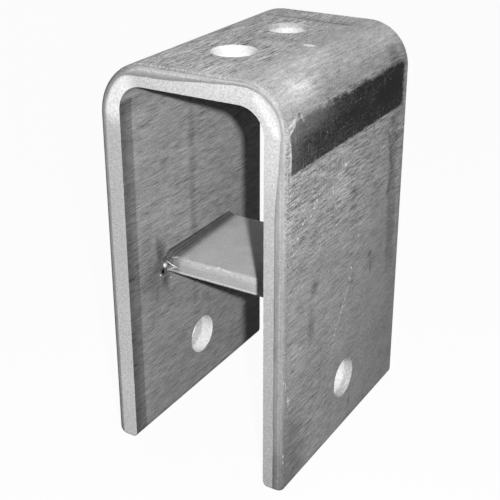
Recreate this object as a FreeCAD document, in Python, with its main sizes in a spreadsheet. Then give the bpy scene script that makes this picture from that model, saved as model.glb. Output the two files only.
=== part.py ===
import FreeCAD, Part
import math
import os

import Sketcher

# Spring hanger: a folded steel channel that stands on its two leg ends, with a welded cross plate inside.
# Frame: millimetres, +Z up, +X across the channel, +Y through its depth, front face at -Y.
# Origin: on the ground, under the middle of the channel.

SIZES = [
    ("overall_height", 145.0, "leg ends to the outside of the top"),
    ("overall_width", 70.0, "outside of one leg to outside of the other"),
    ("overall_depth", 90.0, "width of the strip that the channel is folded from"),
    ("sheet_thickness", 8.0, "thickness of the folded strip"),
    ("inner_bend_radius", 9.0, "inside of both bends"),
    ("left_bend_radius", 19.5, "outside of the bend at -X"),
    ("right_bend_radius", 15.5, "outside of the bend at +X, pressed tighter"),
    ("front_edge_round", 1.5, "rolled round on the strip's outer front edges"),
    ("back_edge_round", 0.8, "rolled round on the strip's outer back edges"),
    ("leg_end_outer_round", 3.0, "sheared round on the outside of each leg end"),
    ("leg_end_inner_round", 3.0, "sheared round on the inside of each leg end"),
    ("top_hole_diameter", 15.0, "frame bolt holes in the top"),
    ("top_hole_spacing", 36.0, "centre to centre, along the depth"),
    ("leg_hole_diameter", 14.5, "bolt holes in the legs, on one axis"),
    ("leg_hole_height", 22.5, "leg ends to the axis of the leg holes"),
    ("hole_chamfer", 0.4, "broken rim of every bolt hole"),
    ("plate_thickness", 6.0, "cross plate"),
    ("plate_depth", 46.0, "cross plate, front to back"),
    ("plate_top_height", 66.5, "leg ends to the top of the cross plate"),
    ("plate_top_round", 2.2, "sheared round on the cross plate's upper long edges"),
    ("plate_bottom_round", 0.5, "round on the cross plate's lower long edges"),
    ("weld_wall_height", 1.6, "height of the weld beads on the legs"),
    ("weld_front_width", 5.0, "width of the weld beads on the plate, front end"),
    ("weld_back_width", 2.4, "width of the weld beads on the plate, back end"),
    ("weld_end_inset", 0.8, "plate's front and back faces to the ends of the weld beads"),
    ("lump_radius", 3.6, "rounded lump where the left bead ends"),
    ("lump_reach", 2.4, "how far the lump stands off the left leg"),
    ("lump_drop", 2.4, "plate's top down to the middle of the lump"),
]

LEFT, RIGHT = -1, 1
INSIDE_WIDTH = "Dimensions.overall_width - 2 * Dimensions.sheet_thickness"


def make_sheet(doc):
    """Spreadsheet of driving dimensions, one named cell each."""
    sheet = doc.addObject("Spreadsheet::Sheet", "Dimensions")
    for row, (alias, value, note) in enumerate(SIZES, start=1):
        sheet.set(f"A{row}", alias)
        sheet.set(f"B{row}", str(value))
        sheet.set(f"C{row}", note)
        sheet.setAlias(f"B{row}", alias)
    doc.recompute()
    return sheet


def origin_plane(body, role):
    """Origin plane of a body, such as XZ_Plane."""
    return next(item for item in body.Origin.OriginFeatures if item.Role == role)


def make_body(doc, label):
    """Empty body at the frame's origin."""
    body = doc.addObject("PartDesign::Body", label)
    body.Label = label
    body.Placement = FreeCAD.Placement()
    return body


def make_sketch(body, name, role):
    """Sketch attached to one of the body's own origin planes."""
    sketch = body.newObject("Sketcher::SketchObject", name)
    sketch.AttachmentSupport = [(origin_plane(body, role), "")]
    sketch.MapMode = "FlatFace"
    return sketch


def bind(sketch, kind, targets, value, expression):
    """Dimensional constraint that takes its value from the sheet."""
    index = sketch.addConstraint(Sketcher.Constraint(kind, *targets, value))
    sketch.setExpression(f"Constraints[{index}]", expression)
    return index


def line(sketch, start, end):
    return sketch.addGeometry(Part.LineSegment(FreeCAD.Vector(*start, 0), FreeCAD.Vector(*end, 0)), False)


def arc(sketch, centre, radius, start_deg, end_deg):
    """Arc that runs counter-clockwise from one angle to the other."""
    circle = Part.Circle(FreeCAD.Vector(*centre, 0), FreeCAD.Vector(0, 0, 1), radius)
    piece = Part.ArcOfCircle(circle, math.radians(start_deg), math.radians(end_deg))
    return sketch.addGeometry(piece, False)


def close_outline(sketch, joints, uprights, levels):
    """Smooth joints round an outline, each as (piece, its end, next piece, its end).

    End 1 is a start and end 2 the other end.
    """
    sketch.addConstraint([Sketcher.Constraint("Tangent", *joint) for joint in joints])
    for upright in uprights:
        sketch.addConstraint(Sketcher.Constraint("Vertical", upright))
    for level in levels:
        sketch.addConstraint(Sketcher.Constraint("Horizontal", level))


def outer_profile(body, sheet):
    """Front view of the outside of the folded strip, closed straight across the leg ends."""
    half = sheet.overall_width / 2
    top = sheet.overall_height
    left, right = sheet.left_bend_radius, sheet.right_bend_radius
    foot = sheet.leg_end_outer_round

    sketch = make_sketch(body, "outer_profile", "XZ_Plane")
    right_outside = line(sketch, (half, foot), (half, top - right))
    right_bend = arc(sketch, (half - right, top - right), right, 0, 90)
    top_outside = line(sketch, (half - right, top), (left - half, top))
    left_bend = arc(sketch, (left - half, top - left), left, 90, 180)
    left_outside = line(sketch, (-half, top - left), (-half, foot))
    left_foot = arc(sketch, (foot - half, foot), foot, 180, 270)
    leg_ends = line(sketch, (foot - half, 0), (half - foot, 0))
    right_foot = arc(sketch, (half - foot, foot), foot, 270, 360)
    outline = (right_outside, right_bend, top_outside, left_bend,
               left_outside, left_foot, leg_ends, right_foot)
    joints = [(piece, 2, following, 1) for piece, following in zip(outline, outline[1:] + outline[:1])]
    close_outline(sketch, joints, (right_outside, left_outside), (top_outside, leg_ends))
    sketch.addConstraint(Sketcher.Constraint("PointOnObject", leg_ends, 1, -1))

    for piece, alias in (
        (right_bend, "right_bend_radius"),
        (left_bend, "left_bend_radius"),
        (left_foot, "leg_end_outer_round"),
        (right_foot, "leg_end_outer_round"),
    ):
        bind(sketch, "Radius", (piece,), sheet.get(alias), f"Dimensions.{alias}")
    bind(sketch, "DistanceX", (-1, 1, right_outside, 1), half, "Dimensions.overall_width / 2")
    bind(sketch, "DistanceX", (left_outside, 1, -1, 1), half, "Dimensions.overall_width / 2")
    bind(sketch, "DistanceY", (-1, 1, top_outside, 1), top, "Dimensions.overall_height")
    return sketch


def inner_profile(body, sheet):
    """Front view of the space between the legs, which flares at the leg ends and runs on below them."""
    inside = sheet.overall_width / 2 - sheet.sheet_thickness
    ceiling = sheet.overall_height - sheet.sheet_thickness
    inner = sheet.inner_bend_radius
    foot = sheet.leg_end_inner_round
    below = sheet.sheet_thickness / 2

    sketch = make_sketch(body, "inner_profile", "XZ_Plane")
    right_inside = line(sketch, (inside, foot), (inside, ceiling - inner))
    right_corner = arc(sketch, (inside - inner, ceiling - inner), inner, 0, 90)
    top_inside = line(sketch, (inside - inner, ceiling), (inner - inside, ceiling))
    left_corner = arc(sketch, (inner - inside, ceiling - inner), inner, 90, 180)
    left_inside = line(sketch, (-inside, ceiling - inner), (-inside, foot))
    left_foot = arc(sketch, (-inside - foot, foot), foot, 270, 360)
    left_drop = line(sketch, (-inside - foot, 0), (-inside - foot, -below))
    bottom = line(sketch, (-inside - foot, -below), (inside + foot, -below))
    right_drop = line(sketch, (inside + foot, -below), (inside + foot, 0))
    right_foot = arc(sketch, (inside + foot, foot), foot, 180, 270)
    joints = [
        (right_foot, 1, right_inside, 1),
        (right_inside, 2, right_corner, 1),
        (right_corner, 2, top_inside, 1),
        (top_inside, 2, left_corner, 1),
        (left_corner, 2, left_inside, 1),
        (left_inside, 2, left_foot, 2),
    ]
    close_outline(sketch, joints, (right_inside, left_inside, left_drop, right_drop), (top_inside, bottom))
    for joint in ((left_foot, 1, left_drop, 1), (left_drop, 2, bottom, 1), (bottom, 2, right_drop, 1),
                  (right_drop, 2, right_foot, 2)):
        sketch.addConstraint(Sketcher.Constraint("Coincident", *joint))
    for foot_arc, end in ((left_foot, 1), (right_foot, 2)):
        sketch.addConstraint(Sketcher.Constraint("PointOnObject", foot_arc, end, -1))
        sketch.addConstraint(Sketcher.Constraint("Vertical", foot_arc, end, foot_arc, 3))

    for piece, alias in (
        (right_corner, "inner_bend_radius"),
        (left_corner, "inner_bend_radius"),
        (left_foot, "leg_end_inner_round"),
        (right_foot, "leg_end_inner_round"),
    ):
        bind(sketch, "Radius", (piece,), sheet.get(alias), f"Dimensions.{alias}")
    wall = f"({INSIDE_WIDTH}) / 2"
    bind(sketch, "DistanceX", (-1, 1, right_inside, 1), inside, wall)
    bind(sketch, "DistanceX", (left_inside, 2, -1, 1), inside, wall)
    bind(sketch, "DistanceY", (-1, 1, top_inside, 1), ceiling,
         "Dimensions.overall_height - Dimensions.sheet_thickness")
    bind(sketch, "DistanceY", (bottom, 1, -1, 1), below, "Dimensions.sheet_thickness / 2")
    return sketch


def edges_where(feature, test):
    """Names of the feature's edges that pass a test on their bounding box."""
    edges = enumerate(feature.Shape.Edges, start=1)
    return [f"Edge{index}" for index, edge in edges if test(edge.BoundBox)]


def soften(doc, body, kind, name, base, edges, size_property, expression):
    """Fillet or chamfer on the named edges."""
    feature = body.newObject(f"PartDesign::{kind}", name)
    feature.Base = (base, edges)
    feature.setExpression(size_property, expression)
    doc.recompute()
    return feature


def require_cut(before, after):
    """A hole that removes nothing points the wrong way."""
    if after.Shape.Volume >= before.Shape.Volume:
        raise RuntimeError(f"{after.Name} removed nothing")


def circle_on_axis(sketch, up, up_expression, diameter, alias):
    """Circle centred on the sketch's vertical axis, bound to the sheet."""
    geometry = Part.Circle(FreeCAD.Vector(0, up, 0), FreeCAD.Vector(0, 0, 1), diameter / 2)
    ring = sketch.addGeometry(geometry, False)
    sketch.addConstraint(Sketcher.Constraint("PointOnObject", ring, 3, -2))
    targets = (ring, 3, -1, 1) if up < 0 else (-1, 1, ring, 3)
    bind(sketch, "DistanceY", targets, abs(up), up_expression)
    bind(sketch, "Diameter", (ring,), diameter, f"Dimensions.{alias}")


def make_channel(doc, sheet):
    """Folded strip with two bolt holes in its top and one in each leg."""
    body = make_body(doc, "channel")
    outside = body.newObject("PartDesign::Pad", "strip_outside")
    outside.Profile = outer_profile(body, sheet)
    outside.Midplane = True
    outside.setExpression("Length", "Dimensions.overall_depth")
    doc.recompute()

    # The shear rolled the strip's outer edges over and left the inner ones sharp, so the rounds come
    # before the space between the legs.
    face = sheet.overall_depth / 2
    at_front = lambda box: box.YLength < 1e-6 and abs(box.YMin + face) < 1e-6
    at_back = lambda box: box.YLength < 1e-6 and abs(box.YMin - face) < 1e-6
    front = soften(doc, body, "Fillet", "front_edges", outside, edges_where(outside, at_front),
                   "Radius", "Dimensions.front_edge_round")
    rounded = soften(doc, body, "Fillet", "back_edges", front, edges_where(front, at_back),
                     "Radius", "Dimensions.back_edge_round")
    folded = body.newObject("PartDesign::Pocket", "folded_strip")
    folded.Profile = inner_profile(body, sheet)
    folded.Type = "ThroughAll"
    folded.Midplane = True
    doc.recompute()
    require_cut(rounded, folded)

    top_holes = make_sketch(body, "top_holes", "XY_Plane")
    offset = sheet.top_hole_spacing / 2
    for place in (-offset, offset):
        circle_on_axis(top_holes, place, "Dimensions.top_hole_spacing / 2",
                       sheet.top_hole_diameter, "top_hole_diameter")
    top_cut = body.newObject("PartDesign::Pocket", "frame_bolt_holes")
    top_cut.Profile = top_holes
    top_cut.Type = "ThroughAll"
    top_cut.Reversed = True
    doc.recompute()
    require_cut(folded, top_cut)

    leg_holes = make_sketch(body, "leg_holes", "YZ_Plane")
    circle_on_axis(leg_holes, sheet.leg_hole_height, "Dimensions.leg_hole_height",
                   sheet.leg_hole_diameter, "leg_hole_diameter")
    leg_cut = body.newObject("PartDesign::Pocket", "spring_bolt_holes")
    leg_cut.Profile = leg_holes
    leg_cut.Type = "ThroughAll"
    leg_cut.Midplane = True
    doc.recompute()
    require_cut(top_cut, leg_cut)

    half = sheet.overall_width / 2
    levels = (sheet.overall_height, sheet.overall_height - sheet.sheet_thickness)
    sides = (half, half - sheet.sheet_thickness)

    def is_rim(box):
        flat_top = box.ZLength < 1e-6 and any(abs(box.ZMin - level) < 1e-6 for level in levels)
        flat_leg = box.XLength < 1e-6 and any(abs(abs(box.XMin) - side) < 1e-6 for side in sides)
        round_top = abs(box.XLength - sheet.top_hole_diameter) < 1e-3
        round_leg = abs(box.YLength - sheet.leg_hole_diameter) < 1e-3
        return (flat_top and round_top) or (flat_leg and round_leg)

    soften(doc, body, "Chamfer", "hole_rims", leg_cut, edges_where(leg_cut, is_rim),
           "Size", "Dimensions.hole_chamfer")
    return body


def plate_section(body, sheet, name):
    """Section of the cross plate, seen along the width, with its four rounded edges."""
    half = sheet.plate_depth / 2
    top = sheet.plate_top_height
    bottom = top - sheet.plate_thickness
    upper, lower = sheet.plate_top_round, sheet.plate_bottom_round

    sketch = make_sketch(body, name, "YZ_Plane")
    above = line(sketch, (half - upper, top), (upper - half, top))
    front_upper = arc(sketch, (upper - half, top - upper), upper, 90, 180)
    front = line(sketch, (-half, top - upper), (-half, bottom + lower))
    front_lower = arc(sketch, (lower - half, bottom + lower), lower, 180, 270)
    below = line(sketch, (lower - half, bottom), (half - lower, bottom))
    back_lower = arc(sketch, (half - lower, bottom + lower), lower, 270, 360)
    back = line(sketch, (half, bottom + lower), (half, top - upper))
    back_upper = arc(sketch, (half - upper, top - upper), upper, 0, 90)
    outline = (above, front_upper, front, front_lower, below, back_lower, back, back_upper)
    for piece, following in zip(outline, outline[1:] + outline[:1]):
        sketch.addConstraint(Sketcher.Constraint("Tangent", piece, 2, following, 1))
    for level in (above, below):
        sketch.addConstraint(Sketcher.Constraint("Horizontal", level))
    for upright in (front, back):
        sketch.addConstraint(Sketcher.Constraint("Vertical", upright))
    for piece, alias in (
        (front_upper, "plate_top_round"),
        (back_upper, "plate_top_round"),
        (front_lower, "plate_bottom_round"),
        (back_lower, "plate_bottom_round"),
    ):
        bind(sketch, "Radius", (piece,), sheet.get(alias), f"Dimensions.{alias}")
    bind(sketch, "DistanceX", (-1, 1, back, 1), half, "Dimensions.plate_depth / 2")
    bind(sketch, "DistanceX", (front, 1, -1, 1), half, "Dimensions.plate_depth / 2")
    bind(sketch, "DistanceY", (-1, 1, above, 1), top, "Dimensions.plate_top_height")
    bind(sketch, "DistanceY", (below, 1, above, 1), sheet.plate_thickness, "Dimensions.plate_thickness")
    return sketch


def make_cross_plate(doc, sheet):
    """Cross plate, cut to fit between the legs, that the end of the spring bears on from below."""
    body = make_body(doc, "cross_plate")
    plate = body.newObject("PartDesign::Pad", "plate")
    plate.Profile = plate_section(body, sheet, "plate_section")
    plate.Midplane = True
    plate.setExpression("Length", INSIDE_WIDTH)
    doc.recompute()
    return body


def bead_section(body, sheet, name, side, width_alias, depth_sign):
    """Section of a weld bead in the corner between a leg and the top of the plate.

    It reaches down past the plate's rounded edge; what lies inside the plate is cut away later.
    """
    wall = side * (sheet.overall_width / 2 - sheet.sheet_thickness)
    toe_x = wall - side * sheet.get(width_alias)
    plate_top = sheet.plate_top_height
    crest = plate_top + sheet.weld_wall_height
    root = plate_top - sheet.plate_top_round

    sketch = make_sketch(body, name, "XZ_Plane")
    # The section's plane faces -Y, so one towards the front has a positive offset.
    offset = "(Dimensions.plate_depth / 2 - Dimensions.weld_end_inset)"
    sketch.setExpression("AttachmentOffset.Base.z", offset if depth_sign < 0 else f"-{offset}")
    on_wall = line(sketch, (wall, crest), (wall, root))
    under = line(sketch, (wall, root), (toe_x, root))
    toe = line(sketch, (toe_x, root), (toe_x, plate_top))
    face = line(sketch, (toe_x, plate_top), (wall, crest))
    outline = (on_wall, under, toe, face)
    for piece, following in zip(outline, outline[1:] + outline[:1]):
        sketch.addConstraint(Sketcher.Constraint("Coincident", piece, 2, following, 1))
    sketch.addConstraint(Sketcher.Constraint("Horizontal", under))
    for upright in (on_wall, toe):
        sketch.addConstraint(Sketcher.Constraint("Vertical", upright))
    origin, foot, toe_foot = (-1, 1), (under, 1), (under, 2)
    to_wall = foot + origin if side == LEFT else origin + foot
    across = foot + toe_foot if side == LEFT else toe_foot + foot
    bind(sketch, "DistanceX", to_wall, abs(wall), f"({INSIDE_WIDTH}) / 2")
    bind(sketch, "DistanceX", across, sheet.get(width_alias), f"Dimensions.{width_alias}")
    bind(sketch, "DistanceY", origin + (face, 1), plate_top, "Dimensions.plate_top_height")
    bind(sketch, "DistanceY", (toe, 1, toe, 2), sheet.plate_top_round, "Dimensions.plate_top_round")
    bind(sketch, "DistanceY", (face, 1, face, 2), sheet.weld_wall_height, "Dimensions.weld_wall_height")
    return sketch


def make_bead(doc, sheet, label, side):
    """Weld bead along the top of the plate on one leg, wider at the front than at the back."""
    body = make_body(doc, label)
    bead = body.newObject("PartDesign::AdditiveLoft", f"{label}_bead")
    bead.Profile = bead_section(body, sheet, f"{label}_front", side, "weld_front_width", -1)
    bead.Sections = [bead_section(body, sheet, f"{label}_back", side, "weld_back_width", 1)]
    bead.Ruled = True
    doc.recompute()
    return body


def add_end_lump(doc, body):
    """Lump at the front end of the bead: it wraps round the plate's corner and sits on the left leg."""
    bead = body.Tip
    lump = body.newObject("PartDesign::AdditiveSphere", "end_lump")
    lump.setExpression("Radius", "Dimensions.lump_radius")
    wall = f"-({INSIDE_WIDTH}) / 2"
    lump.setExpression("Placement.Base.x", f"{wall} + Dimensions.lump_reach - Dimensions.lump_radius")
    lump.setExpression("Placement.Base.y", "-Dimensions.plate_depth / 2")
    lump.setExpression("Placement.Base.z", "Dimensions.plate_top_height - Dimensions.lump_drop")
    doc.recompute()
    if lump.Shape.Volume <= bead.Shape.Volume:
        raise RuntimeError("the end lump added nothing")

    in_leg = body.newObject("PartDesign::SubtractiveBox", "lump_in_leg")
    in_leg.setExpression("Length", "Dimensions.sheet_thickness")
    in_leg.setExpression("Width", "Dimensions.overall_depth")
    in_leg.setExpression("Height", "Dimensions.overall_height")
    in_leg.setExpression("Placement.Base.x", "-Dimensions.overall_width / 2")
    in_leg.setExpression("Placement.Base.y", "-Dimensions.overall_depth / 2")
    doc.recompute()
    require_cut(lump, in_leg)


def clear_plate(doc, sheet, body):
    """Cut the space of the plate out of a weld, so that the weld lies on the plate's surface."""
    weld = body.Tip
    cut = body.newObject("PartDesign::Pocket", f"{body.Label}_off_plate")
    cut.Profile = plate_section(body, sheet, f"{body.Label}_plate_section")
    cut.Midplane = True
    cut.setExpression("Length", INSIDE_WIDTH)
    doc.recompute()
    require_cut(weld, cut)


def check_document(doc, bodies):
    """Every feature computed, and every piece one valid solid."""
    for item in doc.Objects:
        if "Invalid" in item.State or "Error" in item.State:
            raise RuntimeError(f"{item.Name}: {item.State}")
    for body in bodies:
        shape = body.Shape
        if shape.isNull() or not shape.isValid() or len(shape.Solids) != 1:
            raise RuntimeError(f"{body.Label} is not one valid solid")


def main():
    doc = FreeCAD.newDocument("spring_hanger")
    sheet = make_sheet(doc)
    channel = make_channel(doc, sheet)
    cross_plate = make_cross_plate(doc, sheet)
    weld_left = make_bead(doc, sheet, "weld_left", LEFT)
    add_end_lump(doc, weld_left)
    weld_right = make_bead(doc, sheet, "weld_right", RIGHT)
    for weld in (weld_left, weld_right):
        clear_plate(doc, sheet, weld)
    bodies = [channel, cross_plate, weld_left, weld_right]
    doc.recompute()
    check_document(doc, bodies)

    os.makedirs("parts", exist_ok=True)
    for body in bodies:
        body.Shape.exportStep(f"parts/{body.Label}.step")


main()
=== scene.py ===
import math

import bmesh
import bpy
from mathutils import Matrix, Vector, noise


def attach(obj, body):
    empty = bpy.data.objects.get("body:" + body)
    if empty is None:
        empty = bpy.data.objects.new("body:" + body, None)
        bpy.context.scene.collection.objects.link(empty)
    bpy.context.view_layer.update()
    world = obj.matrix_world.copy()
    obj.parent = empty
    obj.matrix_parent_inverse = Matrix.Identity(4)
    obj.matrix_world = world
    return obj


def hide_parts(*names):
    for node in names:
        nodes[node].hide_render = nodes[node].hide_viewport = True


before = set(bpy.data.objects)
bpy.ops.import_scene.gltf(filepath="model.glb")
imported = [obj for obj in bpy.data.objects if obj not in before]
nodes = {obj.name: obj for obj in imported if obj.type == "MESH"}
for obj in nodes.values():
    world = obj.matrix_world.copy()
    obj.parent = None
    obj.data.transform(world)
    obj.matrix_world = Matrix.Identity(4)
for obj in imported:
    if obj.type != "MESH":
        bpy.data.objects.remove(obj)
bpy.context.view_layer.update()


# Sizes in millimetres, read off the frame where it holds them

MM = 0.001


def reach_of(name, axis):
    """How far a CAD node reaches along an axis."""
    return round(max(corner[axis] for corner in nodes[name].bound_box) / MM, 3)


SIDE, FACE, TOP = (reach_of("channel", axis) for axis in range(3))
INSIDE, PLATE_BACK, PLATE_TOP = (reach_of("cross_plate", axis) for axis in range(3))
LEFT_BEND = 19.5
RIGHT_BEND = 15.5
LEG_HOLE_HEIGHT = 22.5
LEG_HOLE_RADIUS = 7.25
TOP_HOLE_OFFSET = 18.0
TOP_HOLE_RADIUS = 7.5
PLATE_ROUND = 2.2
BEAD_END = 22.2
BEAD_WIDE = 5.0
BEAD_NARROW = 2.4
BEAD_HEIGHT = 1.6
BEAD_RIDGES = 4.0


# Shader arithmetic

class Field:
    """A number or a vector that varies over a surface, for plain arithmetic on shader nodes."""

    def __init__(self, paint, socket):
        self.paint = paint
        self.socket = socket

    def __add__(self, other):
        return self.paint.math("ADD", self, other)

    def __radd__(self, other):
        return self.paint.math("ADD", other, self)

    def __sub__(self, other):
        return self.paint.math("SUBTRACT", self, other)

    def __rsub__(self, other):
        return self.paint.math("SUBTRACT", other, self)

    def __mul__(self, other):
        return self.paint.math("MULTIPLY", self, other)

    def __rmul__(self, other):
        return self.paint.math("MULTIPLY", other, self)

    def __truediv__(self, other):
        return self.paint.math("DIVIDE", self, other)

    def __neg__(self):
        return self.paint.math("MULTIPLY", self, -1.0)

    def __abs__(self):
        return self.paint.math("ABSOLUTE", self)


class Paint:
    """One material. Lengths in it are in millimetres of the object's own frame."""

    def __init__(self, name):
        self.material = bpy.data.materials.new(name)
        self.material.use_nodes = True
        self.tree = self.material.node_tree
        self.tree.nodes.clear()
        coordinates = self.tree.nodes.new("ShaderNodeTexCoord").outputs
        self.place = self.vector_math("SCALE", coordinates["Object"], scale=1.0 / MM)
        self.stretched = {(1, 1, 1): self.place}
        self.x, self.y, self.z = self.split(self.place)
        self.nx, self.ny = self.split(coordinates["Normal"])[:2]

    def put(self, socket, value):
        if isinstance(value, Field):
            value = value.socket
        if isinstance(value, bpy.types.NodeSocket):
            self.tree.links.new(value, socket)
        else:
            socket.default_value = value

    def math(self, operation, *values, clamp=False):
        node = self.tree.nodes.new("ShaderNodeMath")
        node.operation = operation
        node.use_clamp = clamp
        for socket, value in zip(node.inputs, values):
            self.put(socket, value)
        return Field(self, node.outputs[0])

    def vector_math(self, operation, *values, scale=None, out=0):
        node = self.tree.nodes.new("ShaderNodeVectorMath")
        node.operation = operation
        for socket, value in zip(node.inputs, values):
            self.put(socket, value)
        if scale is not None:
            self.put(node.inputs["Scale"], scale)
        return Field(self, node.outputs[out])

    def split(self, vector):
        node = self.tree.nodes.new("ShaderNodeSeparateXYZ")
        self.put(node.inputs[0], vector)
        return [Field(self, socket) for socket in node.outputs]

    def low(self, *values):
        return self.math("MINIMUM", *values)

    def high(self, *values):
        return self.math("MAXIMUM", *values)

    def away_from(self, a, b, centre_a=0.0, centre_b=0.0):
        """Distance in a plane from a centre."""
        u = a - centre_a
        v = b - centre_b
        return self.math("SQRT", u * u + v * v)

    def ramp(self, value, start, end):
        """0 at start and 1 at end, smooth between them; start may be the larger."""
        node = self.tree.nodes.new("ShaderNodeMapRange")
        node.interpolation_type = "SMOOTHSTEP"
        for name, item in (("Value", value), ("From Min", start), ("From Max", end)):
            self.put(node.inputs[name], item)
        return Field(self, node.outputs[0])

    def mix(self, factor, a, b):
        return a + (b - a) * factor

    def noise(self, size, stretch=(1, 1, 1), detail=2.0, rough=0.5):
        """Noise from about -1 to 1 with grains of that size, stretched along the axes."""
        # Noises of one stretch share their coordinates, which keeps a large shader within its limits.
        if stretch not in self.stretched:
            squeeze = tuple(1 / s for s in stretch)
            self.stretched[stretch] = self.vector_math("MULTIPLY", self.place, squeeze)
        node = self.tree.nodes.new("ShaderNodeTexNoise")
        self.put(node.inputs["Vector"], self.stretched[stretch])
        node.inputs["Scale"].default_value = 1.0 / size
        node.inputs["Detail"].default_value = detail
        node.inputs["Roughness"].default_value = rough
        return (Field(self, node.outputs["Fac"]) - 0.5) * 4.0

    def near(self, point, reach, core=0.3):
        """1 within core * reach of a point, down to 0 at reach."""
        away = self.vector_math("DISTANCE", self.place, tuple(point), out=1)
        return self.ramp(away, reach, reach * core)

    def oval(self, point, radii, core=0.0):
        """An ellipsoidal spot with those half axes."""
        away = self.vector_math("SUBTRACT", self.place, tuple(point))
        away = self.vector_math("MULTIPLY", away, tuple(1 / r for r in radii))
        return self.ramp(self.vector_math("LENGTH", away, out=1), 1.0, core)

    def line(self, start, end, reach, core=0.1):
        """A straight mark between two points."""
        run = Vector(end) - Vector(start)
        away = self.vector_math("SUBTRACT", self.place, tuple(start))
        share = self.vector_math("DOT_PRODUCT", away, tuple(run / run.length_squared), out=1)
        share = self.math("MULTIPLY", share, 1.0, clamp=True)
        nearest = self.vector_math("SCALE", tuple(run), scale=share)
        away = self.vector_math("DISTANCE", away, nearest, out=1)
        return self.ramp(away, reach, reach * core)

    def finish(self, grey, roughness, height, metallic=0.0, gloss=0.12):
        shader = self.tree.nodes.new("ShaderNodeBsdfPrincipled")
        colour = self.tree.nodes.new("ShaderNodeCombineColor")
        level = self.high(grey, 0.004)
        for socket in colour.inputs:
            self.put(socket, level)
        bump = self.tree.nodes.new("ShaderNodeBump")
        bump.inputs["Distance"].default_value = MM
        self.put(bump.inputs["Height"], height)
        shader.inputs["Specular IOR Level"].default_value = gloss
        self.put(shader.inputs["Metallic"], metallic)
        self.put(shader.inputs["Base Color"], colour.outputs[0])
        self.put(shader.inputs["Roughness"], roughness)
        self.put(shader.inputs["Normal"], bump.outputs[0])
        output = self.tree.nodes.new("ShaderNodeOutputMaterial")
        self.put(output.inputs["Surface"], shader.outputs[0])
        return self.material


# The bent channel

def on_side(y, z):
    """A place on the outer face of the right leg."""
    return SIDE, y, z


def on_wall(y, z):
    """A place on the inner face of the left leg."""
    return -INSIDE, y, z


def on_top(x, y):
    """A place on the top."""
    return x, y, TOP


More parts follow.
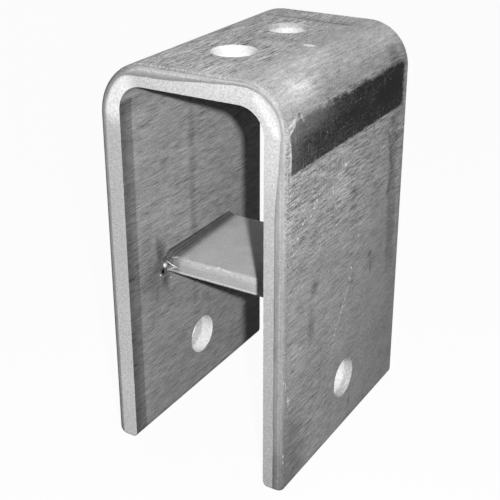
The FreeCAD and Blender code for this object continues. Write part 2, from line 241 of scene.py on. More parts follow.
class ChannelPaint(Paint):
    """The channel's bare steel, in layers that channel_steel puts together.

    Factors without noise are multiplied together before they meet noise, so that the renderer
    has to hold fewer values at a time. Past its limit on these the channel would come out black.
    """

    def __init__(self):
        super().__init__("channel_steel")
        x, z = self.x, self.z

        # Grains and lines along the depth, from the drawing of the sheet, and broader clouds.
        self.fine = self.noise(0.50, (1, 12, 1), 1.0, 0.6)
        self.grain = self.noise(0.55, (1, 1, 1), 2.0, 0.6)
        self.clouds = self.noise(15.0, (1, 1.6, 1), 4.0, 0.55)
        self.patches = self.noise(4.2, (1, 1.6, 1), 2.0, 0.5)
        self.rag = self.noise(2.2, (1, 1.6, 1), 3.0, 0.6)
        self.mottle = self.noise(1.1, (1, 1, 1), 3.0, 0.65)
        coarse = self.noise(1.25, (1, 12, 1), 2.0, 0.5)
        hair = self.ramp(self.noise(0.38, (1, 20, 1), 1.0, 0.5), -0.1, 1.0)
        self.lines = self.fine * 0.36 + coarse * 0.20 - hair * 0.26

        # Depth below the outer skin, measured across the sheet, round either bend.
        self.depth = self.mix(self.ramp(x, -0.01, 0.01),
                              self.below_skin(-x, LEFT_BEND), self.below_skin(x, RIGHT_BEND))
        self.outside = self.ramp(self.depth, 2.6, 1.6)
        self.right_face = self.outside * self.ramp(x, 31.0, 33.0)
        self.left_wall = self.ramp(x, -26.0, -26.9) * self.ramp(self.nx, 0.4, 0.8)
        self.right_leg = self.ramp(x, 24.0, 26.0)
        top = self.ramp(x, -27.0, -17.5) * self.ramp(z, 134.0, 141.0)
        self.across_top = top * (1.0 - self.right_leg)

    def below_skin(self, across, radius):
        """Depth below the outer skin on one side, across the sheet and round a bend of that radius."""
        u = self.high(across - (SIDE - radius), 0.0)
        v = self.high(self.z - (TOP - radius), 0.0)
        return radius - self.math("SQRT", u * u + v * v)

    def skin(self):
        """Rolled skin: drawn lines, worn off in places, over patches and clouds; the top painted lighter,
        and the right bend's outer side and the left leg's inner face painted darker, as light and shade.
        """
        x, y, z, outside = self.x, self.y, self.z, self.outside
        worn = self.ramp(self.noise(24.0, (1, 1, 1), 1.0, 0.5), -0.9, 0.5)
        calm = self.right_face * self.ramp(y - z * 0.45, -38.0, 8.0) * self.ramp(z, 75.0, 45.0)
        turn = self.ramp(z, 128.0, 138.0) * outside
        keen = 1.0 + 0.75 * self.ramp(z, 70.0, 105.0) * (outside - turn)
        keen = keen + 0.8 * turn * self.ramp(x, 22.0, 6.0)
        ease = keen * (1.0 - 0.50 * calm) * (1.0 - 0.32 * turn * self.ramp(x, 8.0, 24.0))
        ease = ease * (1.0 - 0.6 * self.ramp(y, -43.0, -44.0) * outside)
        drawn = (self.lines + 0.08) * self.mix(worn, 0.6, 1.0) * ease
        grey = 1.0 + drawn + self.clouds * 0.12 + self.patches * 0.08 + self.grain * (0.34 * keen)
        # Painted light and shade: the top lighter, the right bend's outer side and the left leg's inner
        # face darker.
        level = 0.385 * (1.0 + 0.29 * self.ramp(z, 134.0, 143.0) * outside)
        level = level * (1.0 - 0.20 * turn * self.ramp(x, 29.0, 34.0))
        return grey * (level * (1.0 - 0.14 * self.left_wall))

    def side_shades(self, grey):
        """Outer right face: brighter by the front edge, darker low down and along the back edge."""
        y, z, face = self.y, self.z, self.right_face
        front_edge = self.ramp(y + self.clouds * 1.2, -38.5, -43.0)
        grey = grey * (1.0 + front_edge * (0.14 * face * self.ramp(z, 75.0, 110.0)))
        low_corner = self.ramp(y + z * 0.25 + self.patches * 1.5, -22.0, -36.0)
        grey = grey * (1.0 - low_corner * (0.30 * face * self.ramp(z, 42.0, 8.0)))
        back_edge = self.ramp(abs(y + z * 0.02 - 37.5 + self.clouds), 5.0, 2.0)
        return grey * (1.0 - back_edge * (0.26 * face * self.ramp(z, 45.0, 60.0)))

    def plain_marks(self):
        """Factor for the marks with plain edges, without noise, with two painted highlights on the right
        bend.
        """
        tone = 1.0 - 0.10 * self.oval((30.0, -10.0, 142.0), (14, 30, 10), 0.2)
        tone = tone * (1.0 - 0.6 * self.near((34.2, -36.4, 134.2), 1.2))
        streak = self.high(self.line(on_side(30.4, 108.4), on_side(35.1, 92.7), 1.8),
                           self.line(on_side(35.1, 92.7), on_side(31.4, 84.0), 2.2))
        tone = tone * (1.0 - 0.30 * streak)
        # Centre, half axes and gain of smudges and pale spots, on the side and then over the top; the two
        # pale spots on the right bend are painted highlights.
        for centre, radii, gain in (
            (on_side(18.7, 65.4), (1.3, 2.6, 2.4), -0.52),
            (on_side(19.6, 60.0), (1.3, 1.3, 4.4), -0.42),
            (on_side(-25.0, 71.0), (2, 4.2, 5.0), -0.42),
            (on_side(-27.0, 58.0), (2, 4.0, 12.0), -0.36),
            (on_side(5.0, 10.0), (2, 2.0, 2.8), -0.42),
            (on_side(-38.0, 20.0), (2, 8.0, 22.0), -0.14),
            (on_side(24.0, 88.0), (2, 7.0, 9.0), -0.18),
            (on_side(-32.0, 106.0), (2, 6.0, 5.0), -0.18),
            (on_side(-9.0, 100.0), (2, 10.0, 8.0), 0.30),
            (on_side(-6.0, 108.5), (2, 6.0, 4.0), 0.22),
            (on_side(12.0, 84.0), (2, 9.0, 8.0), 0.18),
            (on_side(-22.0, 86.0), (2, 10.0, 6.0), 0.14),
            # Painted highlights on the right bend, near its front and back ends.
            ((32.0, -37.0, 138.0), (8, 9.0, 7), 0.20),
            ((31.0, 30.0, 140.0), (8, 9.0, 5), 0.12),
            ((24.0, -10.0, 144.0), (9, 18.0, 4), 0.24),
            (on_top(-12.0, -37.0), (9.0, 4.0, 3), -0.14),
        ):
            tone = tone * (1.0 + gain * self.oval(centre, radii))
        # Dark streak along the top's back edge.
        for start, end, reach, strength in (
            (on_top(-17.0, 33.0), on_top(16.0, 32.0), 1.7, 0.30),
            (on_top(4.0, 31.2), on_top(19.0, 32.0), 1.5, 0.26),
            (on_top(-4.0, 34.5), on_top(20.0, 34.0), 3.5, 0.12),
        ):
            tone = tone * (1.0 - strength * self.line(start, end, reach, 0.0))
        return tone

    def bright_marks(self):
        """Scratches, flecks and the nick in the top, where bare metal shows."""
        bright = self.line(on_side(0.9, 59.5), on_side(-8.9, 44.7), 0.32) * 0.5
        # Dotted scratch and its faint tail.
        for y, z, reach in (
            (3.0, 66.4, 0.75), (2.1, 62.6, 0.7), (0.4, 58.7, 0.5), (-1.2, 56.0, 0.45), (-2.9, 53.6, 0.55),
            (-4.2, 51.8, 0.5), (-5.4, 50.1, 0.5), (-7.6, 46.7, 0.5), (-8.8, 44.9, 0.55),
        ):
            bright = self.high(bright, self.near(on_side(y, z), reach))
        for start, end, reach, strength in (
            (on_side(-9.6, 43.0), on_side(-16.0, 22.0), 0.5, 0.12),
            (on_side(-43.2, 36.9), on_side(-41.4, 36.2), 0.45, 0.8),
            (on_side(-42.5, 37.9), on_side(-42.2, 35.0), 0.45, 0.8),
        ):
            bright = self.high(bright, self.line(start, end, reach) * strength)
        for y, z, reach in (
            (-4.4, 107.7, 0.8), (-7.5, 109.6, 0.6), (-13.5, 101.2, 0.7), (-24.9, 102.5, 0.6),
            (-28.8, 98.4, 0.7), (-26.6, 100.2, 0.5), (-34.2, 97.7, 0.6), (-37.3, 93.8, 0.7),
            (34.8, 73.0, 0.6), (-23.0, 104.0, 0.5), (-19.0, 96.0, 0.5), (-10.0, 88.0, 0.5),
            (8.0, 77.0, 0.5), (-31.0, 64.0, 0.4), (14.0, 95.0, 0.45),
        ):
            bright = self.high(bright, self.near(on_side(y, z), reach) * 0.8)
        for x, y, reach in (
            (22.4, -11.2, 0.7), (18.3, 8.5, 0.45), (-13.6, -17.4, 0.5), (16.3, -28.0, 0.45),
            (29.0, -6.0, 0.5), (-20.0, -30.0, 0.5), (6.0, -30.5, 0.4),
        ):
            bright = self.high(bright, self.near((x, y, TOP - 0.3), reach) * 0.6)
        nick = self.oval(on_top(17.8, 0.1), (2.7, 2.1, 1.5), 0.3)
        ragged_nick = self.ramp(nick + self.grain * 0.22 + self.patches * 0.12, 0.30, 0.50)
        return self.high(bright, ragged_nick * 0.85)

    def dark_band(self, grey):
        """Scale left in a band over the right bend's foot, with scratches and specks in it."""
        x, y, z, rag = self.x, self.y, self.z, self.rag
        front_end = y + 42.6 + self.ramp(z, 123.5, 130.0) * 0.9
        front_end = front_end - self.ramp(z, 129.0, 132.8) * 3.8 + rag * 0.40
        frayed = self.noise(0.9, (1, 1.6, 1), 2.0, 0.6)
        band = self.ramp(z - rag * 0.35 - frayed * 0.25, 115.8, 116.9)
        band = band * self.ramp(z + rag * 0.85 + frayed * 0.5, 134.4, 131.6)
        band = band * self.ramp(front_end, -0.1, 0.8) * self.ramp(y + rag * 0.9, 43.0, 40.0)
        band = band * self.ramp(x, 30.0, 33.0)

        blotch = self.noise(6.5, (1, 1.6, 1), 3.0, 0.6)
        upright = self.noise(0.8, (1, 1, 11), 2.0, 0.6)
        specks = self.ramp(self.noise(0.85, (1, 1, 1), 1.0, 0.5), 0.80, 1.2)
        front_part = self.ramp(y, -8.0, -30.0)
        soot = 0.030 + 0.030 * self.ramp(y, 12.0, -36.0) - 0.012 * self.ramp(y, 5.0, 25.0)
        soot = soot + 0.080 * front_part * self.ramp(z, 124.0, 130.0) + 0.040 * self.ramp(y, -33.0, -41.0)
        soot = soot - 0.028 * self.oval(on_side(-4.0, 124.0), (4, 22.0, 4.5), 0.2)
        soot = soot - 0.030 * self.oval(on_side(28.0, 125.0), (4, 14.0, 6.0), 0.2)
        soot = soot + 0.05 * self.line(on_side(24.4, 129.8), on_side(24.9, 126.0), 1.0)
        soot = soot + 0.02 * self.line(on_side(9.5, 130.0), on_side(7.5, 126.0), 2.2)
        soot = soot + 0.022 * blotch + 0.028 * self.fine + self.grain * 0.045 + frayed * 0.022
        soot = soot + self.ramp(upright, 0.30, 1.1) * (0.17 * front_part * self.ramp(z, 132.0, 126.0))
        soot = soot + 0.34 * specks * self.ramp(blotch, -1.0, 0.4)
        soot = soot + 0.16 * self.ramp(self.fine, 0.5, 1.3) * self.ramp(rag, -0.2, 0.8)
        grey = self.mix(band, grey, self.high(soot, 0.02))

        # Pale rim round the front end of the band, and two bare strokes above it.
        room = self.ramp(z, 116.0, 121.0) * self.ramp(z, 134.5, 132.5) * self.ramp(y, -30.0, -38.0)
        halo = self.ramp(front_end, -1.6, -0.4) * self.ramp(front_end, 0.6, -0.1) * (room * self.right_face)
        strokes = self.high(self.line((34.8, -44.4, 131.5), (34.4, -38.5, 134.0), 0.8, 0.2),
                            self.line((34.3, -36.5, 135.0), (34.7, -34.3, 131.6), 0.7, 0.2))
        return grey + 0.14 * halo + 0.16 * strokes, band

    def top_shades(self, grey):
        """Painted highlight over the right bend, and a darker middle."""
        # Painted highlight, clouded, over the right bend near the front.
        pale = self.oval((31.0, -28.0, 139.7), (9, 15.0, 5)) * (1.0 + self.clouds * 0.7)
        top_face = self.outside * self.ramp(self.z, 141.5, 144.0)
        middle = self.ramp(abs(self.x + 2.0 + self.clouds * 2.0), 11.0, 4.0)
        middle = middle * (0.10 * top_face * self.ramp(self.y, 30.0, 5.0))
        return grey * (1.0 + 0.28 * pale) * (1.0 - middle)

    def wall_shades(self, grey, tone):
        """Inside of the left leg: dark strip along its front edge, soot round the weld's front end, and
        painted shade in the left bend's inner corner.
        """
        x, y, z, wall = self.x, self.y, self.z, self.left_wall
        strip = self.ramp(y + self.rag * 0.25, -38.0, -39.4)
        rim = self.ramp(y + self.patches * 0.5, -40.0, -44.2)
        grey = grey * (1.0 - wall * (0.40 * strip + 0.18 * rim))
        # Painted shade in the inner corner of the left bend, towards the front.
        inner_corner_shade = self.ramp(x, -17.0, -25.0) * self.ramp(z, 122.0, 133.0)
        inner_corner_shade = inner_corner_shade * self.ramp(self.depth, 7.0, 7.8) * self.ramp(y, -20.0, -38.0)
        tone = tone * (1.0 - 0.42 * inner_corner_shade)

        scorch = self.oval(on_wall(-31.0, 60.0), (4, 13.0, 15.0)) * 0.8
        for centre, radii in (
            (on_wall(-27.0, 62.5), (4, 12.0, 8.5)),
            (on_wall(-25.5, 68.0), (4, 5.0, 9.0)),
            (on_wall(-24.0, 57.0), (4, 7.0, 6.5)),
        ):
            scorch = self.high(scorch, self.oval(centre, radii))
        grey = grey * (1.0 - (0.55 * wall * scorch) * (1.0 + self.rag * 0.2))

        # Start, end, reach and strength of dark lines: two long ones, smoke off the weld, scratches.
        marks = 1.0 - 0.20 * self.line(on_wall(-4.0, 120.0), on_wall(-4.0, 40.0), 3.0)
        marks = marks * (1.0 - 0.10 * self.line(on_wall(-22.0, 104.0), on_wall(-22.0, 76.0), 2.4, 0.0))
        for start, end, reach, strength in (
            ((-26.5, 67.0), (-27.5, 75.0), 2.4, 0.26), ((-23.5, 57.0), (-22.0, 52.5), 1.9, 0.20),
            ((-27.5, 57.0), (-29.0, 51.5), 1.6, 0.18), ((-31.0, 46.0), (-32.3, 41.5), 0.5, 0.28),
            ((6.0, 44.0), (9.0, 39.0), 0.45, 0.28), ((4.5, 38.0), (6.5, 34.5), 0.40, 0.22),
            ((-34.0, 118.9), (-28.0, 119.9), 0.42, 0.42), ((-33.0, 118.0), (-28.5, 118.7), 0.38, 0.32),
            ((-37.0, 110.4), (-34.5, 110.8), 0.42, 0.30), ((-33.0, 112.0), (-31.0, 112.4), 0.40, 0.25),
            ((-28.0, 117.2), (-24.0, 117.8), 0.40, 0.22), ((-30.0, 89.0), (-27.0, 89.4), 0.42, 0.25),
        ):
            marks = marks * (1.0 - strength * self.line(on_wall(*start), on_wall(*end), reach))
        grey = grey * (tone * self.mix(wall, 1.0, marks))
        blots = self.ramp(self.noise(1.2, (1, 1.6, 1), 1.0, 0.5), 0.0, 0.9)
        return grey * (1.0 - (0.16 * wall * self.oval(on_wall(-19.0, 88.0), (3, 13.0, 12.0), 0.2)) * blots)

    def cut_metal(self, at):
        """The bright, even part of a sheared face, with painted highlights by both bends and painted light
        over the top's span.
        """
        x, z, right_leg = self.x, self.z, self.right_leg
        grey = 0.57 * (1.0 + self.mottle * 0.09 + self.grain * 0.22 + self.clouds * 0.03)
        # Painted highlights on the front faces of both bends, and painted light over the top's span.
        glow = self.high(self.oval((-29.0, -FACE, 134.0), (11.0, 4, 13.0), 0.45),
                         self.line((25.0, -FACE, 140.0), (31.2, -FACE, 130.5), 2.6, 0.2) * 0.55)
        grey = grey * (1.0 + 0.52 * glow * self.ramp(at, 2.2, 3.2) + 0.07 * self.across_top)
        left_leg = self.ramp(x, -24.0, -26.0) * self.ramp(z, 128.0, 116.0)
        legs = self.mix(right_leg * self.ramp(z, 120.0, 100.0), 1.0, 0.86)
        return grey * (legs * (1.0 + left_leg * (0.28 * self.ramp(z, 105.0, 5.0) - 0.05)))

    def rolled_metal(self, at, reach):
        """The darker band, reach wide, where the shear rolled the outer edge over; its darkness is partly
        painted shade of the roll, with a painted highlight line and painted dark lines on it.
        """
        z, mottle, across_top, right_leg = self.z, self.mottle, self.across_top, self.right_leg
        inward = self.math("DIVIDE", at, reach, clamp=True)
        long_mottle = self.noise(2.2, (1, 1, 3.5), 2.0, 0.6)
        on_left = self.mix(self.ramp(inward, 0.0, 0.9), 0.19, 0.33)
        on_left = on_left * (1.0 + mottle * 0.16 + long_mottle * 0.10)
        on_span = self.mix(self.ramp(inward, 0.45, 0.95), 0.47, 0.28)
        on_span = on_span * (1.0 + mottle * 0.12 + self.grain * 0.08)
        on_right = self.mix(self.ramp(inward, 0.35, 0.95), 0.37, 0.30)
        on_right = on_right * (1.0 + mottle * 0.14 + long_mottle * 0.16)
        leg_tone = (1.0 - 0.34 * self.ramp(z, 24.0, 8.0)) * (1.0 + 0.16 * self.ramp(z, 84.0, 112.0))
        on_right = on_right * leg_tone
        grey = self.mix(right_leg, self.mix(across_top, on_left, on_span), on_right)

        # Painted highlight: a pale line along the roll where it turns to the light.
        lip = self.ramp(abs(at - 2.05), 0.46, 0.14) * self.ramp(reach, 2.5, 3.2)
        lip = lip * self.ramp(mottle, -0.9, 0.5) * self.mix(right_leg, 1.0, 0.7)
        chips = self.ramp(self.noise(1.1, (1, 1, 1), 1.0, 0.5), 0.70, 1.2)
        chips = chips * self.high(across_top, right_leg * 0.5) * self.ramp(abs(at - 2.1), 0.9, 0.3)
        grey = grey + 0.13 * lip + 0.30 * chips
        # Painted shade in the crease between the rolled band and the flat cut.
        crease_shade = self.ramp(abs(at - reach + 0.2), 0.32, 0.10)
        grey = grey * (1.0 - crease_shade * (0.22 * right_leg * self.ramp(z, 118.0, 104.0)))
        # Painted shade on the steep part of the roll over the top.
        return grey * (1.0 - 0.46 * across_top * self.ramp(abs(at - 0.70), 0.55, 0.15))

    def sheared_faces(self, grey, bright):
        """Front and back faces, over the skin that turns in towards them, painted darker there as shade."""
        x, y, z, across_top, right_leg = self.x, self.y, self.z, self.across_top, self.right_leg
        wander = self.noise(10.0, (1, 1, 1), 2.0, 0.6) * 0.14 + self.noise(2.3, (1, 1, 1), 2.0, 0.6) * 0.07
        at = self.depth + wander
        reach = 2.15 + across_top * (2.25 - 2.1 * self.ramp(x, -14.0, 18.0))
        reach = reach + 2.0 * right_leg * self.ramp(z, 134.0, 98.0)
        rolled = self.ramp(at - reach, 0.14, -0.12)
        metal = self.mix(rolled, self.cut_metal(at), self.rolled_metal(at, reach))
        front = self.ramp(y, -43.1, -43.5) * self.ramp(-self.ny, 0.25, 0.5)
        back = self.ramp(y, 43.9, 44.3) * self.ramp(self.ny, 0.25, 0.5)
        sheared = self.high(front, back) * self.ramp(at, 0.35, 1.20)

        # Painted shade where the skin turns in towards the front faces, deepest on the left leg.
        turned = self.ramp(y, -43.0, -44.2) * self.outside
        turned_edge_shade = 1.0 - turned * self.mix(self.ramp(x, -26.0, -20.0), 0.46, 0.20)
        grey = grey * (turned_edge_shade * (1.0 - 0.12 * turned * self.ramp(x, 31.0, 33.0)))
        corner = turned * self.ramp(x, 32.0, 34.0) * self.ramp(y, -43.6, -44.1) * self.ramp(z, 62.0, 40.0)
        nibbled = self.ramp(self.noise(0.8, (1, 1, 3.5), 1.0, 0.5), 0.55, 1.0)
        bright = self.high(bright, nibbled * (corner * 0.8))
        return self.mix(sheared, grey + bright * 0.55, metal), sheared, bright

    def drilled_holes(self, grey):
        """Bright torn walls of the four holes, painted brighter by the outer rim and darker deeper in, as
        light and shade.
        """
        x, y, z = self.x, self.y, self.z
        # The holes end where the sheet does, so beyond it any place counts as far from them.
        far = 50.0
        leg_holes = self.away_from(y, z, 0.0, LEG_HOLE_HEIGHT) + self.ramp(abs(x), 26.5, 26.0) * far
        front_hole = self.away_from(x, y, 0.0, -TOP_HOLE_OFFSET)
        back_hole = self.away_from(x, y, 0.0, TOP_HOLE_OFFSET)
        top_holes = self.low(front_hole, back_hole) + self.ramp(z, 136.0, 135.0) * far
        drilled = self.high(self.ramp(leg_holes, LEG_HOLE_RADIUS + 0.4, LEG_HOLE_RADIUS + 0.2),
                            self.ramp(top_holes, TOP_HOLE_RADIUS + 0.4, TOP_HOLE_RADIUS + 0.2))
        # Painted light and shade in the bores: bright by the outer rims, on the top holes by one side,
        # darker deeper in.
        painted_light_side_rim = self.ramp(abs(x) + self.mottle * 0.5, 31.3, 32.6)
        painted_light_top_rim = self.ramp(z + self.mottle * 0.4, 142.8, 143.6) * self.ramp(y - x, 6.0, 14.0)
        ragged = self.noise(0.9, (1, 1, 1), 3.0, 0.6)
        wall = self.mix(self.high(painted_light_side_rim, painted_light_top_rim), 0.88 + ragged * 0.14, 0.58 + ragged * 0.20)
        wall = wall * (1.0 - 0.10 * self.ramp(z, 130.0, 140.0))
        return self.mix(drilled, grey, wall), drilled


def channel_steel():
    p = ChannelPaint()
    bright = p.bright_marks()
    tone = p.plain_marks()
    grey, band = p.dark_band(p.side_shades(p.skin()))
    grey = p.wall_shades(p.top_shades(grey), tone)
    grey, sheared, bright = p.sheared_faces(grey, bright)
    grey, drilled = p.drilled_holes(grey)
    machined = p.high(sheared, drilled)
    rough = 0.70 + p.fine * 0.03 + p.clouds * 0.05 - band * 0.10 - machined * 0.12 - bright * 0.15
    # Only lines and grain make the relief, because the nodes behind it are worked out three times.
    height = p.lines * 0.06 * p.ramp(p.y, -44.0, -43.0) + p.grain * 0.012
    return p.finish(grey, rough, height, machined * 0.10, gloss=0.03)


# Cross plate and weld metal

def bead_width(along):
    """Width of a bead on the plate, from its front end at 0 to its back end at 1."""
    return BEAD_WIDE - along * (BEAD_WIDE - BEAD_NARROW)


def plate_steel():
    p = Paint("plate_surface")
    x, y, z = p.x, p.y, p.z
    clouds = p.noise(8.0, (1, 1, 1), 3.0, 0.55)
    fine = p.noise(0.55, (14, 1, 1), 2.0, 0.6)
    grain = p.noise(0.5, (1, 1, 1), 2.0, 0.6)
    rag = p.noise(1.5, (1, 1, 1), 2.0, 0.6)
    grey = 0.61 * (1.0 + clouds * 0.08 + grain * 0.26 + fine * 0.07)
    # Greyer next to the weld.
    past = INSIDE - abs(x) - bead_width((y + BEAD_END) / (2.0 * BEAD_END))
    grey = grey * (1.0 - 0.46 * p.ramp(past + rag * 0.3, 2.4, -0.3)) * (1.0 - 0.10 * p.ramp(past, 8.0, 1.0))
    # Front edge, with a pale line along its foot and bare marks on its round.
    front = p.ramp(y, -21.6, -22.9)
    foot_line = p.ramp(abs(z - 61.4 + rag * 0.12), 0.42, 0.12) * front
    grey = grey * (1.0 - 0.20 * front) * (1.0 - 0.30 * p.ramp(z, 61.2, 60.6) * front) + 0.22 * foot_line
    arcs = p.math("SQRT", (x + 21.5) * (x + 21.5) + (y + 30.0) * (y + 30.0) * 0.55)
    swirl = p.math("SINE", arcs * 3.6) * p.oval((-17.0, -20.5, PLATE_TOP), (6.5, 3.0, 2.0), 0.1)
    grey = grey * (1.0 + 0.06 * swirl)
    marks = p.high(p.near((-5.2, -21.2, 66.6), 0.9), p.near((-3.6, -20.9, 66.5), 0.5) * 0.5)
    marks = p.high(marks, p.line((-2.8, -21.8, 66.4), (0.2, -21.9, 66.3), 0.32) * 0.8)
    marks = p.high(marks, p.line((-9.5, -22.4, 65.8), (-8.2, -22.3, 65.9), 0.3) * 0.5)
    grey = grey + 0.34 * marks
    return p.finish(grey, 0.66 + clouds * 0.05, grain * 0.010 + fine * 0.004, gloss=0.03)


def weld_steel():
    p = Paint("weld_surface")
    wobble = p.noise(2.2, (1, 2.5, 1), 2.0, 0.5)
    ripple = p.noise(0.55, (1, 1, 1), 2.0, 0.6)
    clouds = p.noise(4.0, (1, 1.5, 1), 3.0, 0.55)
    width = bead_width((p.y + BEAD_END) / (2.0 * BEAD_END))
    at = (INSIDE - abs(p.x)) / width + wobble * 0.02
    wave = p.math("COSINE", at * (2 * math.pi * BEAD_RIDGES))
    grey = 0.118 * (1.0 + 0.22 * wave + clouds * 0.22 + ripple * 0.26)
    grey = grey * (1.0 - 0.50 * p.ramp(at, 0.10, 0.0)) + 0.09 * p.ramp(at, 0.62, 1.0)
    low = p.ramp(p.z, 66.0, 65.0)
    grey = grey * (1.0 + 0.15 * low) + 0.05 * low * p.ramp(ripple, -0.2, 0.8)
    return p.finish(grey, 0.55 + clouds * 0.06, ripple * 0.02 + wave * 0.02, gloss=0.06)


def spatter_steel():
    p = Paint("spatter_surface")
    ripple = p.noise(0.5, (1, 1, 1), 2.0, 0.6)
    return p.finish(0.72 + ripple * 0.12, 0.38 + ripple * 0.05, ripple * 0.02, 0.3)


# Shapes of the weld metal

def new_piece(name, data, node, material):
    """Object made from a bmesh in millimetres, standing for a CAD node where one is named."""
    mesh = bpy.data.meshes.new(name)
    bmesh.ops.recalc_face_normals(data, faces=data.faces)
    bmesh.ops.scale(data, vec=(MM, MM, MM), verts=data.verts)
    data.to_mesh(mesh)
    data.free()
    for face in mesh.polygons:
        face.use_smooth = True
    mesh.materials.append(material)
    item = bpy.data.objects.new(name, mesh)
    bpy.context.scene.collection.objects.link(item)
    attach(item, "root")
    if node:
        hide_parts(node)


def rough_at(point, size, seed):
    """Smooth noise from about -1 to 1 at a point."""
    return noise.noise(Vector(point) / size + Vector((seed, seed * 1.7, seed * 0.3)))


def plate_surface(y):
    """Height of the plate's top, with its rounded front and back edges."""
    past = max(abs(y) - (PLATE_BACK - PLATE_ROUND), 0.0)
    return PLATE_TOP - PLATE_ROUND + math.sqrt(max(PLATE_ROUND ** 2 - past ** 2, 0.0))


def join_rings(data, rings):
    """Faces between closed rings of vertices, and caps on both ends."""
    count = len(rings[0])
    for a, b in zip(rings, rings[1:]):
        for k in range(count):
            m = (k + 1) % count
            data.faces.new((a[k], a[m], b[m], b[k]))
    data.faces.new(rings[0])
    data.faces.new(rings[-1])


def bead_mesh(side, seed):
    """Hollow fillet between a leg and the plate, with lengthwise ridges and fine ripples."""
    data = bmesh.new()
    rows, steps = 160, 18
    rings = []
    for i in range(rows + 1):
        s = i / rows
        y = BEAD_END * (2.0 * s - 1.0)
        taper = min(1.0, min(s, 1.0 - s) * 14.0 + 0.45)
        width = (bead_width(s) + 0.16 * rough_at((0, y, 0), 3.0, seed)) * (0.75 + 0.25 * taper)
        height = (BEAD_HEIGHT - 0.12 + 0.10 * rough_at((5, y, 0), 2.5, seed)) * taper
        base = plate_surface(y)
        ring = []
        for j in range(steps + 1):
            t = j / steps
            across = t * width
            sway = 0.12 * rough_at((t * 3, y, 9), 4.0, seed)
            ridge = 0.13 * math.cos(2 * math.pi * (t * BEAD_RIDGES + sway))
            ripple = 0.05 * math.sin(2 * math.pi * (y / 1.15 + 1.4 * (t - 0.5) ** 2))
            ripple += 0.07 * rough_at((across * 2, y, 3), 0.9, seed)
            bulge = math.sin(math.pi * t)
            up = height * (1.0 - t) ** 1.35 + (ridge + ripple) * (0.25 + 0.75 * bulge) * (1 - t * 0.35)
            up = max(up, 0.02 * (1 - t))
            ring.append((side * (INSIDE - across), y, min(base + up, PLATE_TOP + BEAD_HEIGHT - 0.01)))
        ring.append((side * (INSIDE - width), y, base - 0.3))
        ring.append((side * INSIDE, y, base - 0.3))
        rings.append([data.verts.new(point) for point in ring])
    join_rings(data, rings)
    return data


def add_ball(data, centre, radius, seed, squash=(1, 1, 1), bumps=0.06, detail=3):
    """Rounded drop of weld metal, slightly uneven."""
    made = bmesh.ops.create_icosphere(data, subdivisions=detail, radius=1.0)
    for vert in made["verts"]:
        swell = radius * (1.0 + bumps * rough_at(vert.co * 3.0, 1.0, seed))
        vert.co = Vector(centre) + Vector(c * s for c, s in zip(vert.co, squash)) * swell


def add_ridge(data, points, radii, seed):
    """Raised seam of weld metal along a few points."""
    sides, rings = 8, []
    for index, point in enumerate(points):
        ahead = Vector(points[min(index + 1, len(points) - 1)]) - Vector(points[max(index - 1, 0)])
        ahead.normalize()
        u = ahead.orthogonal().normalized()
        v = ahead.cross(u)
        ring = []
        for k in range(sides):
            angle = 2 * math.pi * k / sides
            reach = radii[index] * (1.0 + 0.15 * rough_at((index, k, 0), 1.0, seed))
            ring.append(data.verts.new(Vector(point) + (u * math.cos(angle) + v * math.sin(angle)) * reach))
        rings.append(ring)
    join_rings(data, rings)


def crater_height(y, z):
    """How far the run-out metal stands off the leg."""
    body = 1.5 * max(0.0, 1.0 - math.hypot(y + 22.6, z - 63.6) / 3.9) ** 0.8
    ring = math.hypot(y + 24.3, (z - 61.6) / 1.35)
    rim = 0.45 * math.exp(-((ring - 1.75) / 0.42) ** 2)
    pit = 0.75 * math.exp(-(ring / 1.2) ** 2)
    uneven = 0.16 * rough_at((y, z, 0), 0.8, 2.0) + 0.10 * rough_at((y, z, 4), 0.4, 5.0)
    return 0.10 + body + rim - pit + uneven


def add_crater(data):
    """Weld metal that ran out at the front end: a rough skirt on the leg with a pit in it."""
    rows, spokes = 22, 56
    centre_y, centre_z = -23.3, 63.0
    middle = data.verts.new((-INSIDE + crater_height(centre_y, centre_z), centre_y, centre_z))
    rings = []
    for i in range(1, rows + 1):
        ring = []
        for k in range(spokes):
            angle = 2 * math.pi * k / spokes
            c, s = math.cos(angle), math.sin(angle)
            edge = (3.35 + 0.35 * rough_at((c * 2, s * 2, 0), 1.0, 3.0)) * i / rows
            y = centre_y + c * edge * 0.98
            z = centre_z + s * edge * (1.12 if s < 0 else 1.0)
            lift = max(crater_height(y, z) * (1.0 - (i / rows) ** 4), 0.0)
            ring.append(data.verts.new((-INSIDE + lift - 0.02 * (i == rows), y, z)))
        rings.append(ring)
    for k in range(spokes):
        m = (k + 1) % spokes
        data.faces.new((middle, rings[0][k], rings[0][m]))
        for a, b in zip(rings, rings[1:]):
            data.faces.new((a[k], b[k], b[m], a[m]))


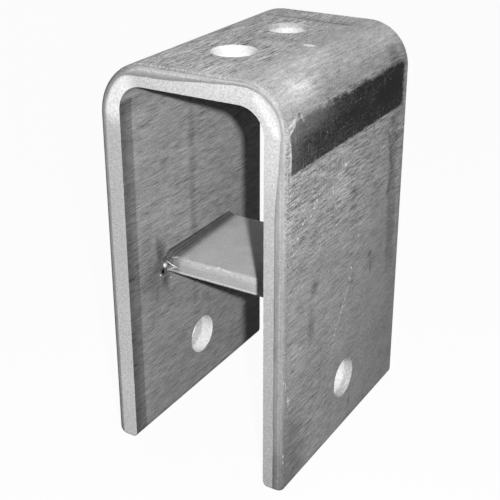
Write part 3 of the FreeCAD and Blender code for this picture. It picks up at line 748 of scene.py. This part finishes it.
def make_welds(metal, bare):
    """Both beads, with the run-out metal, drops and seams at the left one's front end."""
    left = bead_mesh(-1, 2.0)
    add_crater(left)
    add_ball(left, (-25.0, -22.6, 64.6), 1.9, 4.0, (0.85, 0.6, 0.8), 0.16, 4)
    new_piece("weld_left_bead", left, "weld_left", metal)

    drops = bmesh.new()
    add_ball(drops, (-26.3, -24.5, 63.6), 0.98, 1.0, bumps=0.05)
    add_ball(drops, (-26.75, -26.6, 60.2), 0.35, 6.0)
    add_ball(drops, (-26.8, -20.2, 56.6), 0.28, 7.0)
    add_ridge(drops, ((-26.2, -23.6, 65.2), (-25.2, -23.75, 64.8), (-23.9, -23.7, 64.2),
                      (-22.6, -23.45, 63.5), (-21.6, -23.1, 63.0)), (0.12, 0.24, 0.27, 0.24, 0.10), 1.0)
    add_ridge(drops, ((-26.2, -23.6, 61.0), (-25.3, -23.6, 61.5), (-24.2, -23.5, 62.3),
                      (-22.9, -23.3, 62.9)), (0.10, 0.24, 0.22, 0.10), 2.0)
    add_ridge(drops, ((-24.6, -22.4, 66.3), (-23.6, -22.3, 66.45), (-22.6, -21.8, 66.55),
                      (-22.2, -21.2, 66.6)), (0.08, 0.16, 0.16, 0.08), 3.0)
    new_piece("weld_left_drops", drops, None, bare)

    right = bead_mesh(1, 9.0)
    add_ball(right, (26.0, -21.6, 66.2), 1.0, 8.0, (0.9, 1.0, 0.7), 0.12)
    new_piece("weld_right_bead", right, "weld_right", metal)


def dress(name, material):
    """Put a material in every material slot of a CAD node."""
    materials = nodes[name].data.materials
    if not materials:
        materials.append(material)
    for index in range(len(materials)):
        materials[index] = material


# Floor, lamps and camera

def background_rays(tree):
    """1 for the rays that see the background: from the camera, in gloss and through glass."""
    path = tree.nodes.new("ShaderNodeLightPath")
    total = path.outputs["Is Camera Ray"]
    for name in ("Is Glossy Ray", "Is Transmission Ray"):
        node = tree.nodes.new("ShaderNodeMath")
        node.operation = "MAXIMUM"
        tree.links.new(total, node.inputs[0])
        tree.links.new(path.outputs[name], node.inputs[1])
        total = node.outputs[0]
    return total


def make_floor(half=4.0, drop=0.0002, seen_tone=0.80, hidden_tone=0.16, glow_share=0.95):
    """Pale where it is seen, dimmer for the light that it throws back up into the object."""
    mesh = bpy.data.meshes.new("floor")
    corners = [(-half, -half, 0), (half, -half, 0), (half, half, 0), (-half, half, 0)]
    mesh.from_pydata(corners, [], [(0, 1, 2, 3)])
    floor = bpy.data.objects.new("floor", mesh)
    bpy.context.scene.collection.objects.link(floor)
    floor.location.z = -drop
    material = bpy.data.materials.new("pale_floor")
    material.use_nodes = True
    tree = material.node_tree
    tree.nodes.clear()
    background = background_rays(tree)
    tone = tree.nodes.new("ShaderNodeMath")
    tone.operation = "MULTIPLY_ADD"
    tree.links.new(background, tone.inputs[0])
    tone.inputs[1].default_value = seen_tone - hidden_tone
    tone.inputs[2].default_value = hidden_tone
    matte = tree.nodes.new("ShaderNodeBsdfDiffuse")
    tree.links.new(tone.outputs[0], matte.inputs["Color"])
    glow = tree.nodes.new("ShaderNodeEmission")
    glow.inputs["Color"].default_value = (1, 1, 1, 1)
    glow.inputs["Strength"].default_value = 1.0
    share = tree.nodes.new("ShaderNodeMath")
    share.operation = "MULTIPLY"
    tree.links.new(background, share.inputs[0])
    share.inputs[1].default_value = glow_share
    mixed = tree.nodes.new("ShaderNodeMixShader")
    tree.links.new(share.outputs[0], mixed.inputs["Fac"])
    tree.links.new(matte.outputs[0], mixed.inputs[1])
    tree.links.new(glow.outputs[0], mixed.inputs[2])
    output = tree.nodes.new("ShaderNodeOutputMaterial")
    tree.links.new(mixed.outputs[0], output.inputs["Surface"])
    mesh.materials.append(material)


def make_world(fill_strength=0.03, seen_strength=1.0):
    world = bpy.data.worlds.new("studio")
    bpy.context.scene.world = world
    world.use_nodes = True
    tree = world.node_tree
    tree.nodes.clear()
    mixed = tree.nodes.new("ShaderNodeMixShader")
    tree.links.new(background_rays(tree), mixed.inputs["Fac"])
    for socket, strength in ((mixed.inputs[1], fill_strength), (mixed.inputs[2], seen_strength)):
        node = tree.nodes.new("ShaderNodeBackground")
        node.inputs["Color"].default_value = (1, 1, 1, 1)
        node.inputs["Strength"].default_value = strength
        tree.links.new(node.outputs[0], socket)
    output = tree.nodes.new("ShaderNodeOutputWorld")
    tree.links.new(mixed.outputs[0], output.inputs["Surface"])


def add_lamp(name, place, size, level, aim=(0, 0, 0.075)):
    """A round lamp that gives a matte surface facing it, at the aim point, that level of its colour."""
    away = Vector(aim) - Vector(place)
    lamp = bpy.data.lights.new(name, "AREA")
    lamp.shape = "DISK"
    lamp.size = size
    lamp.energy = level * math.pi ** 2 * away.length_squared
    item = bpy.data.objects.new(name, lamp)
    item.location = place
    item.rotation_mode = "QUATERNION"
    item.rotation_quaternion = away.to_track_quat("-Z", "Y")
    bpy.context.scene.collection.objects.link(item)


def add_camera():
    """The photo's camera, as fitted to the object's outlines."""
    place = Vector((0.17425, -0.29889, 0.23224))
    yaw, pitch, roll = (math.radians(angle) for angle in (-31.9035, 23.6891, -0.5211))
    back = Vector((-math.sin(yaw) * math.cos(pitch), -math.cos(yaw) * math.cos(pitch), math.sin(pitch)))
    right = (-back).cross(Vector((0, 0, 1))).normalized()
    up = right.cross(-back)
    across = math.cos(roll) * right + math.sin(roll) * up
    above = -math.sin(roll) * right + math.cos(roll) * up
    camera = bpy.data.cameras.new("camera")
    camera.sensor_width = 36.0
    camera.lens = 75.06
    camera.shift_x = 0.0324
    camera.shift_y = -0.0719
    camera.clip_start = 0.02
    camera.clip_end = 20.0
    item = bpy.data.objects.new("camera", camera)
    turn = Matrix((across, above, back)).transposed().to_4x4()
    item.matrix_world = Matrix.Translation(place) @ turn
    bpy.context.scene.collection.objects.link(item)
    bpy.context.scene.camera = item


dress("channel", channel_steel())
dress("cross_plate", plate_steel())
weld_metal = weld_steel()
dress("weld_left", weld_metal)
dress("weld_right", weld_metal)
make_welds(weld_metal, spatter_steel())

make_floor()
make_world()
add_lamp("key_lamp", (0.2014, -0.292, 0.2457), 0.011, 1.1)
add_lamp("left_lamp", (-1.0, 0.45, 0.75), 0.6, 0.20)
add_lamp("top_lamp", (0.1, 0.35, 1.2), 0.5, 0.20)
add_camera()
bpy.context.scene.view_settings.view_transform = "Standard"
